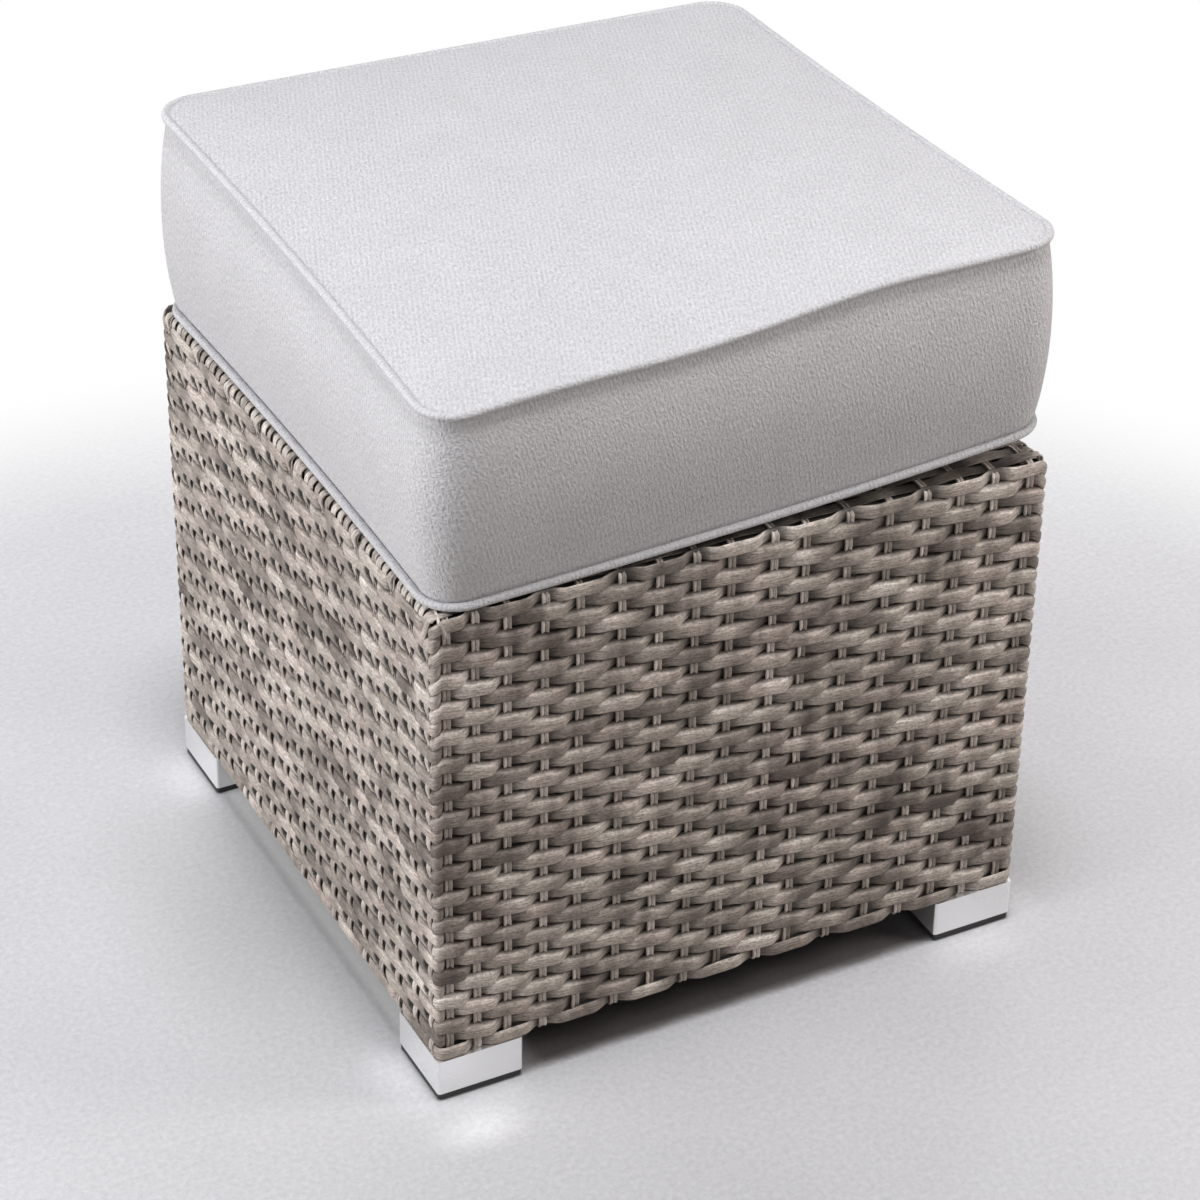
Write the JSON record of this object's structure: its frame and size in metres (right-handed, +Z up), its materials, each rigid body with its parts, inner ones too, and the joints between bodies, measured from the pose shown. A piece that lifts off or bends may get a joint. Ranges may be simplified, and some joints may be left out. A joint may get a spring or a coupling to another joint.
{
  "type": "outdoor ottoman footstool",
  "caption": "Square outdoor footstool: tube frame in woven synthetic wicker on metal feet, with a loose piped box cushion that lifts off and unzips.",
  "frame": {"origin": "on the floor under the middle of the stool", "axes": "+Z up, -Y the front (the face at the picture's right), -X the left side (the face at the picture's left)"},
  "size_m": [0.4074, 0.4096, 0.4874],
  "materials": {
    "wicker": "matte",
    "frame": "satin",
    "foot_metal": "satin",
    "black_plastic": "matte",
    "steel": "satin",
    "cover_cloth": "matte",
    "piping_cloth": "matte",
    "foam": "matte",
    "zip": "matte"
  },
  "bodies": {
    "stool": {"post_front_left": "frame", "post_front_right": "frame", "post_back_right": "frame", "post_back_left": "frame", "top_rail_front": "frame", "top_rail_back": "frame", "top_rail_left": "frame", "top_rail_right": "frame", "bottom_rail_front": "frame", "bottom_rail_back": "frame", "bottom_rail_left": "frame", "bottom_rail_right": "frame", "seat_bar_left": "frame", "seat_bar_middle": "frame", "seat_bar_right": "frame", "foot_front_left": "foot_metal", "foot_front_right": "foot_metal", "foot_back_right": "foot_metal", "foot_back_left": "foot_metal", "glide_front_left": "black_plastic", "glide_front_right": "black_plastic", "glide_back_right": "black_plastic", "glide_back_left": "black_plastic", "post_insert_front_left": "black_plastic", "post_insert_front_right": "black_plastic", "post_insert_back_right": "black_plastic", "post_insert_back_left": "black_plastic", "foot_screw_front_left": "steel", "foot_screw_front_right": "steel", "foot_screw_back_right": "steel", "foot_screw_back_left": "steel", "woven_front": "wicker", "woven_right": "wicker", "woven_back": "wicker", "woven_left": "wicker", "woven_deck": "wicker"},
    "cushion": {"cover_side_band": "cover_cloth", "cover_top": "cover_cloth", "cover_bottom": "cover_cloth", "piping_top": "piping_cloth", "piping_bottom": "piping_cloth", "foam_core": "foam", "zip_tape": "zip", "zip_coil": "zip"},
    "zip_slider": {"zip_slider": "steel"},
    "zip_pull": {"zip_pull": "steel"}
  },
  "joints": [
    {"name": "cushion_lift", "type": "slide", "parent": "stool", "child": "cushion", "axis": [0, 0, 1], "range_m": [0, 0.15]},
    {"name": "zip_slide", "type": "slide", "parent": "cushion", "child": "zip_slider", "axis": [-1, 0, 0], "range_m": [0, 0.29]},
    {"name": "zip_pull_turn", "type": "hinge", "parent": "zip_slider", "child": "zip_pull", "pos_m": [0.145, 0.2042, 0.36285], "axis": [0, 0, -1], "range_deg": [0, 180]}
  ]
}
